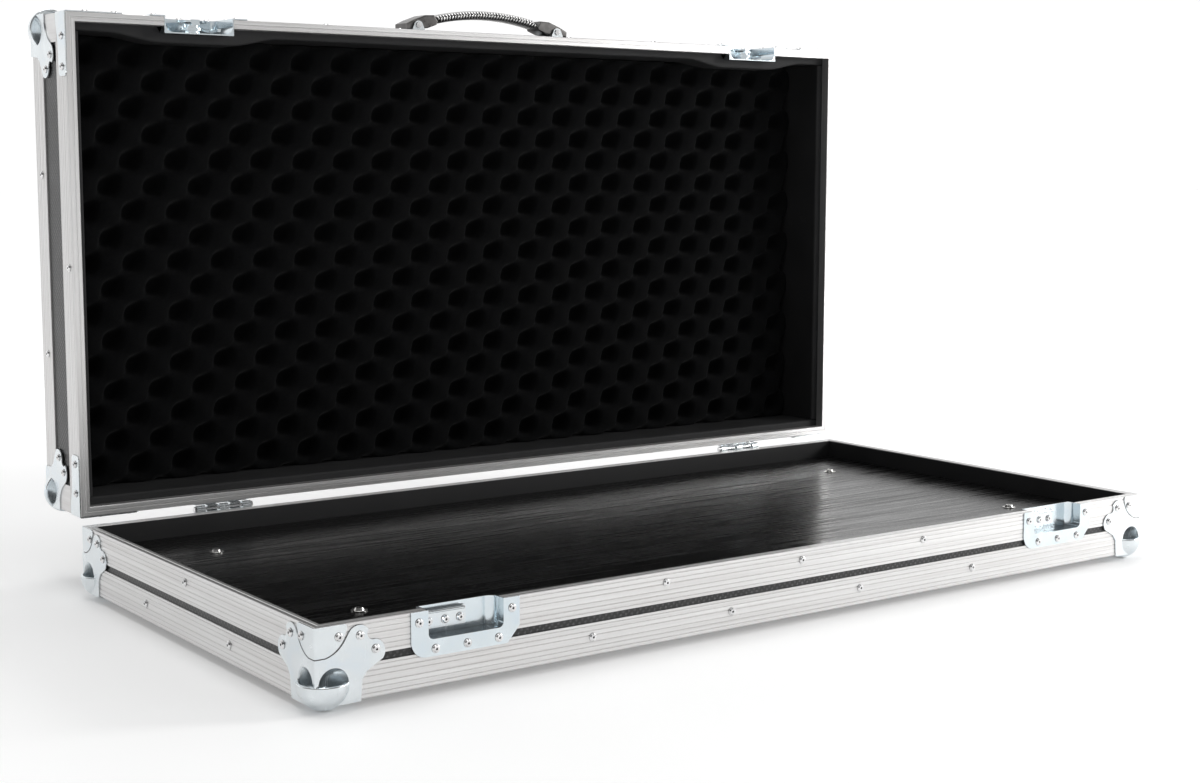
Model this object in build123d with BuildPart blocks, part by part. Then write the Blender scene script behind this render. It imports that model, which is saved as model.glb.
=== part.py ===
"""A flight-style case for guitar pedals: a shallow tray with a raised board, and a deep lift-off lid, open at 90 degrees.

Millimetres, +Z up, +X along the case's length, -Y towards the player. The tray stands on its four ball corners.
"""

from build123d import *
import math
import os

os.makedirs("parts", exist_ok=True)

# ---- driving dimensions -------------------------------------------------
W, D = 1060.0, 520.0  # outer length and depth, over the extrusions
H_BASE, H_LID = 67.0, 100.0  # tray and lid, rim to outer skin
EXT = 1.5  # extrusion wall
PANEL = 7.0  # laminate panel
LEG = 30.0  # leg of both extrusions
RIM = 10.0  # width of the rim's top face
BALL_R, BALL_C, BALL_OUT = 22.5, 14.5, 8.0  # ball, its centre inside each face, how far it stands proud
EYE_C, EYE_Z, EYE_R, EYE_DEEP = 16.2, 17.0, 16.75, 4.0  # the two scoops above the ball, and how far they dip behind its upper edge
PLATE = 1.2  # pressed steel
NOTCH = 36.0  # corner of the panels that the ball corners replace
LATCH_X = 385.0  # latch centres from the middle
HINGE_X = 370.0
DISH_W, DISH_D = 76.0, 16.0  # latch dish: width and depth
DISH_HB, DISH_HL = 26.0, 48.0  # dish height below the rim, in the tray and in the lid
BOARD_T, BOARD_TOP = 9.0, H_BASE - 21.5
PIN_R, PIN_GAP = 2.0, 0.05

AXIS_BACK, AXIS_Z = 6.0, BALL_OUT + H_BASE + 2.0  # hinge axis: behind the rear face, and above the floor
GAP = 0.3  # between the two rims when closed
FRONT = -(2 * BALL_OUT + D + AXIS_BACK + (BALL_OUT + H_BASE + GAP + H_LID - AXIS_Z)) / 2 + BALL_OUT
REAR = FRONT + D
AXIS_Y = REAR + AXIS_BACK

# each shell is drawn in its own frame: z' from its outer skin to its rim, x' along the case, -y' its near long side
BASE = Plane(origin=(0, FRONT + D / 2, BALL_OUT), x_dir=(1, 0, 0), z_dir=(0, 0, 1))
LID_SKIN = AXIS_Y + (BALL_OUT + H_BASE + GAP + H_LID - AXIS_Z)
LID = Plane(origin=(0, LID_SKIN, AXIS_Z + AXIS_BACK + D / 2), x_dir=(1, 0, 0), z_dir=(0, -1, 0))

hw, hd = W / 2, D / 2


def at(frame, local):
    """A plane given in a shell's own frame, in the row's frame."""
    return Plane(frame.location * local.location)


def save(part, label):
    part.label = label
    export_step(part, f"parts/{label}.step")


def section(x, dx=(0, 1, 0)):
    """A plane across the case's length, at x, with its own x along y'."""
    return Plane(origin=(x, 0, 0), x_dir=dx, z_dir=(1, 0, 0))


# ---- the two shells: panels -------------------------------------------------
def notch_cut(h):
    """Cuts the four corners that the ball corners replace."""
    with Locations(*[(sx * hw, sy * hd, 0) for sx in (-1, 1) for sy in (-1, 1)]):
        Box(2 * NOTCH, 2 * NOTCH, 2 * NOTCH, mode=Mode.SUBTRACT)


def skin_panel(frame):
    with BuildPart(frame) as panel:
        with Locations((0, 0, EXT + PANEL / 2)):
            Box(W - 2 * EXT, D - 2 * EXT, PANEL)
        notch_cut(0)
    return panel.part


def long_wall(frame, h, side, dish_h, dish_side):
    lo = EXT + PANEL
    top = h - EXT - 0.1
    with BuildPart(frame) as wall:
        with Locations((0, side * (hd - EXT - PANEL / 2), (lo + top) / 2)):
            Box(W - 2 * EXT, PANEL, top - lo)
        notch_cut(h)
        if side == dish_side:
            with Locations(*[(sx * LATCH_X, side * hd, h) for sx in (-1, 1)]):
                Box(DISH_W + 2 * PLATE + 0.4, 40, 2 * (dish_h + PLATE + 0.2), mode=Mode.SUBTRACT)
    return wall.part


def short_wall(frame, h, side):
    lo = EXT + PANEL
    top = h - EXT - 0.1
    with BuildPart(frame) as wall:
        with Locations((side * (hw - EXT - PANEL / 2), 0, (lo + top) / 2)):
            Box(PANEL, D - 2 * (EXT + PANEL), top - lo)
        notch_cut(h)
    return wall.part


# ---- aluminium extrusions -------------------------------------------------
GROOVE, GROOVE_D = 1.0, 0.35
GROOVES = (3.2, 7.6, 12.0, 18.0, 22.4, 26.8)


def rim_profile(h):
    """Outer leg with fine grooves, top face with a bead line, and a short inner leg; drawn in (y', z') from the outer face."""
    pts = [(0, h - LEG)]
    for g in sorted(GROOVES, reverse=True):
        z = h - g
        pts += [(0, z - GROOVE / 2), (GROOVE_D, z - GROOVE / 4), (GROOVE_D, z + GROOVE / 4), (0, z + GROOVE / 2)]
    pts += [(0, h - 0.6), (0.6, h), (4.6, h), (5.0, h - 0.45), (5.6, h - 0.45), (6.0, h), (RIM - 0.6, h), (RIM, h - 0.6)]
    pts += [(RIM, h - 12), (RIM - 1.3, h - 12), (RIM - 1.3, h - EXT), (EXT, h - EXT), (EXT, h - LEG)]
    return pts


def angle_profile():
    pts = [(0, LEG), (EXT, LEG), (EXT, EXT), (LEG, EXT), (LEG, 0)]
    for g in sorted(GROOVES, reverse=True):
        y = g + 0.8
        pts += [(y + GROOVE / 2, 0), (y + GROOVE / 4, GROOVE_D), (y - GROOVE / 4, GROOVE_D), (y - GROOVE / 2, 0)]
    pts += [(0.8, 0), (0, 0.8)]
    for g in sorted(GROOVES):
        z = g + 0.8
        pts += [(0, z - GROOVE / 2), (GROOVE_D, z - GROOVE / 4), (GROOVE_D, z + GROOVE / 4), (0, z + GROOVE / 2)]
    return pts


def outline(pts):
    Polygon(*pts, align=None)


def rim_long(frame, h, side, dish_h, dish_side):
    """One mitred length along x'; side is -1 for the near side and 1 for the far one."""
    prof = rim_profile(h)
    with BuildPart() as rim:
        with BuildSketch(at(frame, section(-hw))):
            outline([(side * (hd - y), z) for y, z in prof])
        extrude(amount=W)
        for sx in (-1, 1):
            # the mitre runs from the shell's corner inwards at 45 degrees
            keep = Plane(origin=(sx * hw, side * hd, 0), z_dir=(-sx, side, 0))
            split(bisect_by=at(frame, keep), keep=Keep.TOP)
    part = rim.part
    if side == dish_side:
        with BuildPart(frame) as cut:
            with Locations(*[(sx * LATCH_X, side * hd, h) for sx in (-1, 1)]):
                # the leg is cut right through, behind the dish's face plate
                Box(DISH_W + 2 * PLATE + 0.4, 44, 2 * max(dish_h + PLATE + 0.2, LEG + 1))
        part = part - cut.part
    return part


def rim_short(frame, h, side):
    prof = rim_profile(h)
    with BuildPart() as rim:
        with BuildSketch(at(frame, Plane(origin=(0, -hd, 0), x_dir=(1, 0, 0), z_dir=(0, -1, 0)))):
            outline([(side * (hw - y), z) for y, z in prof])
        extrude(amount=-D)
        for sy in (-1, 1):
            keep = Plane(origin=(side * hw, sy * hd, 0), z_dir=(side, -sy, 0))
            split(bisect_by=at(frame, keep), keep=Keep.TOP)
    return rim.part


def angle_long(frame, side):
    with BuildPart() as ang:
        with BuildSketch(at(frame, section(-hw + NOTCH))):
            outline([(side * (hd - y), z) for y, z in angle_profile()])
        extrude(amount=W - 2 * NOTCH)
    return ang.part


def angle_short(frame, side):
    with BuildPart() as ang:
        with BuildSketch(at(frame, Plane(origin=(0, -hd + NOTCH, 0), x_dir=(1, 0, 0), z_dir=(0, -1, 0)))):
            outline([(side * (hw - y), z) for y, z in angle_profile()])
        extrude(amount=-(D - 2 * NOTCH))
    return ang.part


# ---- ball corners -------------------------------------------------
def one_ball_corner():
    """The corner at the origin, with the case in +x, +y, +z."""
    c = BALL_C
    with BuildPart() as corner:
        # the pressed plates on the near and the left face, in (distance from the corner, height above the skin):
        # each has two riveted lobes, and a U cut out for the rim brace
        near = Plane(origin=(0, 0, 0), x_dir=(1, 0, 0), z_dir=(0, -1, 0))
        left = Plane(origin=(0, 0, 0), x_dir=(0, 1, 0), z_dir=(1, 0, 0))
        for face, out in ((near, PLATE), (left, -PLATE)):
            with BuildSketch(face):
                with BuildLine():
                    Line((-PLATE, 39.6), (9, 39.6))
                    ThreePointArc((9, 39.6), (19.6, 44.3), (27.5, 53.0))
                    Line((27.5, 53.0), (31.5, 59.5))
                    ThreePointArc((31.5, 59.5), (41.0, 64.0), (49.6, 59.0))
                    ThreePointArc((49.6, 59.0), (50.3, 51.0), (55.4, 50.1))
                    ThreePointArc((55.4, 50.1), (64.4, 42.6), (62.6, 32.5))
                    Polyline((62.6, 32.5), (47.5, 24.0), (43.0, 17.5), (41.5, 0), (41.5, -PLATE), (-PLATE, -PLATE), (-PLATE, 39.6))
                make_face()
            extrude(amount=out)
        # plate on the skin
        with BuildSketch(Plane.XY.offset(-PLATE)):
            Polygon((-PLATE, -PLATE), (41.5, -PLATE), (41.5, 20), (20, 41.5), (-PLATE, 41.5), align=None)
        extrude(amount=PLATE)
        # block at the edge, below the eyes
        with Locations((c / 2 - PLATE / 2, c / 2 - PLATE / 2, EYE_Z - 3)):
            Box(c + PLATE, c + PLATE, 6)
        # everything outside the ball goes, up to the eyes
        with BuildPart(mode=Mode.PRIVATE) as away:
            with Locations((c / 2 - 2, c / 2 - 2, EYE_Z / 2 - 6)):
                Box(c + 4, c + 4, EYE_Z + 12)
            with Locations((c, c, c)):
                Sphere(BALL_R, mode=Mode.SUBTRACT)
        add(away.part, mode=Mode.SUBTRACT)
        # the ball, with its upper edge rolled over
        with BuildPart(mode=Mode.PRIVATE) as ball:
            with Locations((c, c, c)):
                Sphere(BALL_R)
            with Locations((c, c, EYE_Z + 30)):
                Box(90, 90, 60, mode=Mode.SUBTRACT)
            fillet(ball.faces().sort_by(Axis.Z)[-1].edges(), 1.0)
        add(ball.part)
        # hollow behind the ball
        with BuildPart(mode=Mode.PRIVATE) as hollow:
            with Locations((c, c, c)):
                Sphere(BALL_R - PLATE)
            with Locations((c, c, EYE_Z - EYE_DEEP - 1.4 + 30)):
                Box(90, 90, 60, mode=Mode.SUBTRACT)
        add(hollow.part, mode=Mode.SUBTRACT)
        # backs of the two eyes
        with BuildPart(mode=Mode.PRIVATE) as backs:
            with Locations((EYE_C, -10.3, EYE_Z), (-10.3, EYE_C, EYE_Z)):
                Sphere(EYE_R + PLATE)
            with Locations((c, c, EYE_Z - EYE_DEEP - 1.4 - 30)):
                Box(90, 90, 60, mode=Mode.SUBTRACT)
            with Locations((c, -30, 20)):
                Box(92, 60, 64, mode=Mode.SUBTRACT)
            with Locations((-30, c, 20)):
                Box(60, 92, 64, mode=Mode.SUBTRACT)
        add(backs.part)
        # the eyes
        with BuildPart(mode=Mode.PRIVATE) as eyes:
            with Locations((EYE_C, -10.3, EYE_Z), (-10.3, EYE_C, EYE_Z)):
                Sphere(EYE_R)
            with Locations((c, c, EYE_Z - 30)):
                Box(120, 120, 60, mode=Mode.SUBTRACT)
        add(eyes.part, mode=Mode.SUBTRACT)
        # their floors, behind the ball's upper edge
        with BuildPart(mode=Mode.PRIVATE) as dips:
            with Locations((EYE_C, -10.3, EYE_Z), (-10.3, EYE_C, EYE_Z)):
                Sphere(EYE_R)
            with Locations((c, c, EYE_Z + 30.01)):
                Box(120, 120, 60, mode=Mode.SUBTRACT)
            with Locations((c, c, EYE_Z - EYE_DEEP - 30)):
                Box(120, 120, 60, mode=Mode.SUBTRACT)
            with Locations((c, c, c)):
                Sphere(BALL_R - 2.0, mode=Mode.INTERSECT)
        add(dips.part, mode=Mode.SUBTRACT)
        # nothing reaches further in than the panels do, nor past the corner that they leave free
        deep, free = EXT + PANEL - 0.1, NOTCH - 0.2
        with Locations((deep + 40, deep + 40, deep + 40)):
            Box(80, 80, 80, mode=Mode.SUBTRACT)
        with Locations((free + 40, 40, 40), (40, free + 40, 40), (40, 40, free + 40)):
            Box(80, 80, 80, mode=Mode.SUBTRACT)
    return corner.part


CORNER = one_ball_corner()


def all_corners(piece):
    """Copies of a piece drawn at the origin's corner, at the shell's four corners."""
    with BuildPart() as group:
        add(piece.moved(Location((-hw, -hd, 0))))
        mirror(about=Plane.YZ)
        mirror(about=Plane.XZ)
    return group.part


def in_frame(frame, piece):
    return piece.moved(frame.location)


# ---- rim corner braces -------------------------------------------------
def one_brace(h, low, long=False):
    """A folded shield over the rim's corner, from the rim down to height low; the long one has an arm along each side."""
    with BuildPart() as brace:
        for k, plane in enumerate(
            (Plane(origin=(0, 0, 0), x_dir=(1, 0, 0), z_dir=(0, -1, 0)), Plane(origin=(0, 0, 0), x_dir=(0, 1, 0), z_dir=(1, 0, 0)))
        ):
            with BuildSketch(plane):
                with BuildLine():
                    if long:
                        Polyline((-PLATE, h - 0.2), (60.0, h - 0.2))
                        ThreePointArc((60.0, h - 0.2), (63.2, h - 1.6), (64.5, h - 5.0))
                        Line((64.5, h - 5.0), (64.5, h - 15.0))
                        ThreePointArc((64.5, h - 15.0), (63.2, h - 18.4), (60.0, h - 19.8))
                        Polyline((60.0, h - 19.8), (33.0, h - 20.6), (18.6, low + 3.2), (8.6, low + 0.6), (-PLATE, low + 0.6), (-PLATE, h - 0.2))
                    else:
                        Polyline((-PLATE, h - 0.2), (26.5, h - 0.2))
                        ThreePointArc((26.5, h - 0.2), (28.9, h - 1.5), (29.2, h - 4.5))
                        Line((29.2, h - 4.5), (25.8, low + 13.6))
                        ThreePointArc((25.8, low + 13.6), (18.3, low + 5.2), (8.6, low + 0.6))
                        Polyline((8.6, low + 0.6), (-PLATE, low + 0.6), (-PLATE, h - 0.2))
                make_face()
            extrude(amount=PLATE if k == 0 else -PLATE)
        edge = brace.edges().filter_by(Axis.Z).sort_by(Axis.X)[0]
        fillet(edge, 2.0)
    return brace.part


# ---- rivets -------------------------------------------------
RIV_R, RIV_H = 3.9, 1.9


def rivets_on(frame, places):
    """Pop rivet heads; each place is (x', y', z', outward normal), on the surface that the head sits on."""
    with BuildPart() as heads:
        for x, y, z, n in places:
            p = at(frame, Plane(origin=(x, y, z), z_dir=n))
            with BuildSketch(p):
                Circle(RIV_R)
            extrude(amount=0.7)
            with BuildSketch(p.offset(0.7)):
                Circle(RIV_R - 0.35)
            extrude(amount=RIV_H - 0.7, taper=38)
            with BuildSketch(p.offset(RIV_H)):
                Circle(1.15)
            extrude(amount=-1.5, mode=Mode.SUBTRACT)
    return heads.part


# ---- latch dishes -------------------------------------------------
def latch_dish(frame, cx, side, h, dish_h, plate_h, round_left):
    """A pressed plate on the long side, with a dish that is open at the rim."""
    fw, back, rr = DISH_W / 2, side * (hd - DISH_D), 9.0
    with BuildPart() as dish:
        # the plate, in (x', z'), on the outer face
        with BuildSketch(at(frame, Plane(origin=(cx, side * hd, h), x_dir=(1, 0, 0), z_dir=(0, -1, 0)))):
            with BuildLine():
                Polyline((-55, -0.2), (55, -0.2), (55, -plate_h + 15), (42, -plate_h), (-40, -plate_h))
                ThreePointArc((-40, -plate_h), (-50.6, -plate_h + 4.4), (-55, -plate_h + 15))
                Line((-55, -plate_h + 15), (-55, -0.2))
            make_face()
        extrude(amount=PLATE if side < 0 else -PLATE)
        # the dish behind it
        with BuildSketch(at(frame, Plane(origin=(cx, 0, h - 0.2), x_dir=(1, 0, 0), z_dir=(0, 0, 1)))):
            with Locations((0, side * (hd - (DISH_D + PLATE) / 2))):
                Rectangle(DISH_W + 2 * PLATE, DISH_D + PLATE)
        extrude(amount=-(dish_h + PLATE - 0.2))
        # its hollow, rounded below and at the ends of its back wall
        with BuildPart(mode=Mode.PRIVATE) as hollow:
            with BuildSketch(at(frame, Plane(origin=(cx, side * (hd + 3), h + 10), x_dir=(1, 0, 0), z_dir=(0, -1, 0)))):
                with Locations((0, -(dish_h + 10) / 2)):
                    RectangleRounded(DISH_W, dish_h + 10, 5)
            extrude(amount=(-1 if side < 0 else 1) * (DISH_D + 3))
            with BuildSketch(at(frame, Plane(origin=(0, 0, h + 12), x_dir=(1, 0, 0), z_dir=(0, 0, 1)))):
                with BuildLine():
                    if round_left:
                        Line((cx - fw, side * (hd + 15)), (cx - fw, back + side * rr))
                        ThreePointArc((cx - fw, back + side * rr), (cx - fw + 0.2929 * rr, back + side * 0.2929 * rr), (cx - fw + rr, back))
                        Line((cx - fw + rr, back), (cx + fw - rr, back))
                    else:
                        Polyline((cx - fw, side * (hd + 15)), (cx - fw, back), (cx + fw - rr, back))
                    ThreePointArc((cx + fw - rr, back), (cx + fw - 0.2929 * rr, back + side * 0.2929 * rr), (cx + fw, back + side * rr))
                    Polyline((cx + fw, back + side * rr), (cx + fw, side * (hd + 15)), (cx - fw, side * (hd + 15)))
                make_face()
            extrude(amount=-(dish_h + 20), mode=Mode.INTERSECT)
        add(hollow.part, mode=Mode.SUBTRACT)
    return dish.part


def keeper(frame, cx, side, h):
    """A plate on the dish's back wall, left of the middle, with its top edge curled out as a lip."""
    back = side * (hd - DISH_D)
    with BuildPart() as keep:
        with BuildSketch(at(frame, Plane(origin=(cx - 13, back, h), x_dir=(1, 0, 0), z_dir=(0, -1, 0)))):
            with Locations((0, -12.5)):
                RectangleRounded(44, 17, 2.5)
        extrude(amount=1.5 if side < 0 else -1.5)
        with BuildSketch(at(frame, section(cx - 33))):
            with BuildLine():
                s = side
                Polyline((back, h - 6.6), (back + s * 1.0, h - 6.6), (back + s * 5.2, h - 6.6))
                ThreePointArc((back + s * 5.2, h - 6.6), (back + s * 7.0, h - 5.4), (back + s * 5.2, h - 4.2))
                Polyline((back + s * 5.2, h - 4.2), (back, h - 4.2), (back, h - 6.6))
            make_face()
        extrude(amount=38)
    return keep.part


# ---- writing the two shells -------------------------------------------------
BRACE_LOW_B, BRACE_LOW_L = H_BASE - 27, H_LID - 27

save(skin_panel(BASE), "base_bottom_panel")
save(long_wall(BASE, H_BASE, -1, DISH_HB, -1), "base_front_wall")
save(long_wall(BASE, H_BASE, 1, DISH_HB, -1), "base_rear_wall")
save(short_wall(BASE, H_BASE, -1), "base_left_wall")
save(short_wall(BASE, H_BASE, 1), "base_right_wall")
save(rim_long(BASE, H_BASE, -1, DISH_HB, -1), "base_rim_front")
save(rim_long(BASE, H_BASE, 1, DISH_HB, -1), "base_rim_rear")
save(rim_short(BASE, H_BASE, -1), "base_rim_left")
save(rim_short(BASE, H_BASE, 1), "base_rim_right")
save(Compound(children=[angle_long(BASE, -1), angle_long(BASE, 1), angle_short(BASE, -1), angle_short(BASE, 1)]), "base_corner_angles")
save(in_frame(BASE, all_corners(CORNER)), "base_ball_corners")
save(in_frame(BASE, all_corners(one_brace(H_BASE, BRACE_LOW_B))), "base_corner_braces")

save(skin_panel(LID), "lid_back_panel")
save(long_wall(LID, H_LID, 1, DISH_HL, 1), "lid_front_wall")
save(long_wall(LID, H_LID, -1, DISH_HL, 1), "lid_rear_wall")
save(short_wall(LID, H_LID, -1), "lid_left_wall")
save(short_wall(LID, H_LID, 1), "lid_right_wall")
save(rim_long(LID, H_LID, 1, DISH_HL, 1), "lid_rim_front")
save(rim_long(LID, H_LID, -1, DISH_HL, 1), "lid_rim_rear")
save(rim_short(LID, H_LID, -1), "lid_rim_left")
save(rim_short(LID, H_LID, 1), "lid_rim_right")
save(Compound(children=[angle_long(LID, -1), angle_long(LID, 1), angle_short(LID, -1), angle_short(LID, 1)]), "lid_corner_angles")
save(in_frame(LID, all_corners(CORNER)), "lid_ball_corners")
save(in_frame(LID, all_corners(one_brace(H_LID, BRACE_LOW_L, long=True))), "lid_corner_braces")

# vertical edges of the lid, between the ball corners and the braces
with BuildPart() as edge_angle:
    with BuildSketch(Plane.XY.offset(39.8)):
        Polygon((0, 0), (LEG - 1, 0), (LEG - 1, EXT - 0.1), (EXT - 0.1, EXT - 0.1), (EXT - 0.1, LEG - 1), (0, LEG - 1), align=None)
    extrude(amount=H_LID - LEG - 40)
save(in_frame(LID, all_corners(edge_angle.part)), "lid_edge_angles")

for name, cx in (("left", -LATCH_X), ("right", LATCH_X)):
    save(latch_dish(BASE, cx, -1, H_BASE, DISH_HB, 41.0, False), f"base_latch_dish_{name}")
    save(latch_dish(LID, cx, 1, H_LID, DISH_HL, 63.0, True), f"lid_latch_dish_{name}")
save(Compound(children=[keeper(BASE, cx, -1, H_BASE) for cx in (-LATCH_X, LATCH_X)]), "latch_keepers")

# ---- rivets -------------------------------------------------
base_places, lid_places = [], []
for sx in (-1, 1):
    for sy in (-1, 1):
        for u, z in ((41.5, 55.0), (56.0, 41.5), (21.7, H_BASE - 10.6)):
            base_places.append((sx * (hw - u), sy * (hd + PLATE), z, (0, sy, 0)))
            base_places.append((sx * (hw + PLATE), sy * (hd - u), z, (sx, 0, 0)))
        for u, z in ((41.5, 55.0), (56.0, 41.5), (24.0, H_LID - 10.2), (55.0, H_LID - 10.2)):
            lid_places.append((sx * (hw - u), sy * (hd + PLATE), z, (0, sy, 0)))
            lid_places.append((sx * (hw + PLATE), sy * (hd - u), z, (sx, 0, 0)))
# along the extrusions: an upper row in the rim and a lower row in the corner angle
for x in (-165.0, 5.0, 175.0):
    base_places.append((x, -hd, H_BASE - 11, (0, -1, 0)))
for x in (-250.0, -85.0, 85.0, 250.0):
    base_places.append((x, -hd, 17.0, (0, -1, 0)))
for x in (-230.0, 0.0, 230.0):
    base_places.append((x, hd, H_BASE - 11, (0, 1, 0)))
    base_places.append((x, hd, 17.0, (0, 1, 0)))
for sx in (-1, 1):
    base_places.append((sx * hw, 0.0, H_BASE - 11, (sx, 0, 0)))
    for y in (-95.0, 95.0):
        base_places.append((sx * hw, y, 17.0, (sx, 0, 0)))
    lid_places.append((sx * hw, 0.0, H_LID - 11, (sx, 0, 0)))
    for y in (-95.0, 95.0):
        lid_places.append((sx * hw, y, 17.0, (sx, 0, 0)))
for x in (-230.0, 0.0, 230.0):
    for sy in (-1, 1):
        lid_places.append((x, sy * hd, 17.0, (0, sy, 0)))
    lid_places.append((x, -hd, H_LID - 11, (0, -1, 0)))
for x in (-230.0, 230.0):
    lid_places.append((x, hd, H_LID - 11, (0, 1, 0)))
# latch plates
for cx in (-LATCH_X, LATCH_X):
    for dx in (-47, 47):
        base_places.append((cx + dx, -hd - PLATE, H_BASE - 10, (0, -1, 0)))
        lid_places.append((cx + dx, hd + PLATE, H_LID - 10, (0, 1, 0)))
        lid_places.append((cx + dx, hd + PLATE, H_LID - 36, (0, 1, 0)))
    for dx in (-31, 1, 33):
        base_places.append((cx + dx, -hd - PLATE, H_BASE - 34.5, (0, -1, 0)))
        lid_places.append((cx + dx, hd + PLATE, H_LID - 56.5, (0, 1, 0)))
    for dx in (-29, -12, 3):
        base_places.append((cx + dx, -(hd - DISH_D) - 1.5, H_BASE - 14.6, (0, -1, 0)))
save(rivets_on(BASE, base_places), "base_rivets")
save(rivets_on(LID, lid_places), "lid_rivets")

# ---- pedal board on battens -------------------------------------------------
board_w, board_d = W - 2 * (EXT + PANEL) - 1, D - 2 * (EXT + PANEL) - 1
SCREW_X, SCREW_Y, SEAT = hw - 100, hd - 108, 0.4
with BuildPart(BASE) as pedal_board:
    with Locations((0, 0, BOARD_TOP - BOARD_T / 2)):
        Box(board_w, board_d, BOARD_T)
    with Locations(*[(sx * LATCH_X, -hd + (DISH_D + PLATE) / 2 + 0.5, BOARD_TOP) for sx in (-1, 1)]):
        Box(DISH_W + 2 * PLATE + 2, DISH_D + PLATE + 1, 40, mode=Mode.SUBTRACT)
    # shallow seats for the screws' washers
    with Locations(*[(sx * SCREW_X, sy * SCREW_Y, BOARD_TOP) for sx in (-1, 1) for sy in (-1, 1)]):
        Cylinder(7.7, 2 * SEAT, mode=Mode.SUBTRACT)
save(pedal_board.part, "pedal_board")

with BuildPart(BASE) as battens:
    with Locations(*[(x, 0, (EXT + PANEL + BOARD_TOP - BOARD_T) / 2) for x in (-SCREW_X, -145, 145, SCREW_X)]):
        Box(22, D - 100, BOARD_TOP - BOARD_T - EXT - PANEL)
save(battens.part, "board_battens")

with BuildPart(BASE) as washers:
    with Locations(*[(sx * SCREW_X, sy * SCREW_Y, BOARD_TOP - SEAT + 0.6) for sx in (-1, 1) for sy in (-1, 1)]):
        Cylinder(7.5, 1.2)
        Cylinder(3.0, 1.2, mode=Mode.SUBTRACT)
save(washers.part, "board_washers")

with BuildPart(BASE) as screws:
    for sx in (-1, 1):
        for sy in (-1, 1):
            with BuildSketch(at(BASE, Plane.XY.offset(BOARD_TOP - SEAT + 1.2))):
                with Locations((sx * SCREW_X, sy * SCREW_Y)):
                    Circle(5.0)
            extrude(amount=2.4, taper=25)
            with BuildSketch(at(BASE, Plane.XY.offset(BOARD_TOP - SEAT + 1.2 + 2.4))):
                with Locations((sx * SCREW_X, sy * SCREW_Y)):
                    Rectangle(4.4, 0.9)
                    Rectangle(0.9, 4.4)
            extrude(amount=-1.4, mode=Mode.SUBTRACT)
save(screws.part, "board_screws")

# ---- lid: foam and linings (plain solids; soft) -------------------------------------------------
LINE_T, LINE_TOP = 10.0, H_LID - 12.5
FOAM_T = 26.0
in_x, in_y = hw - EXT - PANEL, hd - EXT - PANEL
with BuildPart(LID) as foam:
    with Locations((0, 0, EXT + PANEL + FOAM_T / 2)):
        Box(2 * (in_x - LINE_T - 0.5), 2 * (in_y - LINE_T - 0.5), FOAM_T)
save(foam.part, "egg_crate_foam")


def lining_long(side):
    lo = EXT + PANEL
    with BuildPart(LID) as lining:
        with Locations((0, side * (in_y - LINE_T / 2), (lo + LINE_TOP) / 2)):
            Box(2 * in_x, LINE_T, LINE_TOP - lo)
        if side > 0:
            # room for the two latch dishes
            with Locations(*[(sx * LATCH_X, hd, H_LID) for sx in (-1, 1)]):
                Box(DISH_W + 2 * PLATE + 1.0, 2 * (DISH_D + PLATE + 0.3), 2 * (DISH_HL + PLATE + 0.4), mode=Mode.SUBTRACT)
    return lining.part


def lining_short(side):
    lo = EXT + PANEL
    with BuildPart(LID) as lining:
        with Locations((side * (in_x - LINE_T / 2), 0, (lo + LINE_TOP) / 2)):
            Box(LINE_T, 2 * (in_y - LINE_T) - 0.4, LINE_TOP - lo)
    return lining.part


save(lining_long(1), "lid_lining_front")
save(lining_long(-1), "lid_lining_rear")
save(lining_short(-1), "lid_lining_left")
save(lining_short(1), "lid_lining_right")

# ---- lift-off hinges -------------------------------------------------
LEAF_W, LEAF_T = 64.0, 1.5
KN_R = 4.2
axis_yb, axis_zb = hd + AXIS_BACK, AXIS_Z - BALL_OUT  # in the tray's frame
# in the lid's frame the same axis, when open: below its near side and just inside its rim
axis_yl, axis_zl = -hd - AXIS_BACK, H_LID - (AXIS_Z - BALL_OUT - H_BASE - GAP)

KNUCKLES = (-27.0, 0.0, 27.0)  # tray's knuckles
HOOKS = (-13.5, 13.5)  # lid's open hooks between them
KN_W, HOOK_W = 10.0, 12.0

with BuildPart() as base_leaves:
    for cx in (-HINGE_X, HINGE_X):
        with BuildSketch(at(BASE, Plane(origin=(cx, hd, 0), x_dir=(1, 0, 0), z_dir=(0, -1, 0)))):
            with Locations((0, H_BASE - 20)):
                RectangleRounded(LEAF_W, 36, 3)
        extrude(amount=-LEAF_T)
        for k in KNUCKLES:
            with BuildSketch(at(BASE, section(cx + k - KN_W / 2))):
                with BuildLine():
                    Polyline((hd + LEAF_T, H_BASE - 12), (axis_yb + KN_R, H_BASE - 4), (axis_yb + KN_R, axis_zb))
                    ThreePointArc((axis_yb + KN_R, axis_zb), (axis_yb, axis_zb + KN_R), (axis_yb - KN_R, axis_zb))
                    Polyline((axis_yb - KN_R, axis_zb), (axis_yb - KN_R, H_BASE - 3), (hd + 0.3, H_BASE - 3), (hd + 0.3, H_BASE - 12), (hd + LEAF_T, H_BASE - 12))
                make_face()
            extrude(amount=KN_W)
    for cx in (-HINGE_X, HINGE_X):
        with BuildSketch(at(BASE, section(cx - 40))):
            with Locations((axis_yb, axis_zb)):
                Circle(PIN_R + PIN_GAP)
        extrude(amount=80, mode=Mode.SUBTRACT)
save(base_leaves.part, "base_hinge_leaves")

with BuildPart() as hinge_pins:
    for cx in (-HINGE_X, HINGE_X):
        with BuildSketch(at(BASE, section(cx - 33))):
            with Locations((axis_yb, axis_zb)):
                Circle(PIN_R)
        extrude(amount=66)
        for x, way in ((cx - 32.6, -1), (cx + 32.6, 1)):
            with BuildSketch(at(BASE, section(x))):
                with Locations((axis_yb, axis_zb)):
                    Circle(3.2)
            extrude(amount=1.6 * way)
save(hinge_pins.part, "hinge_pins")

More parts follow.
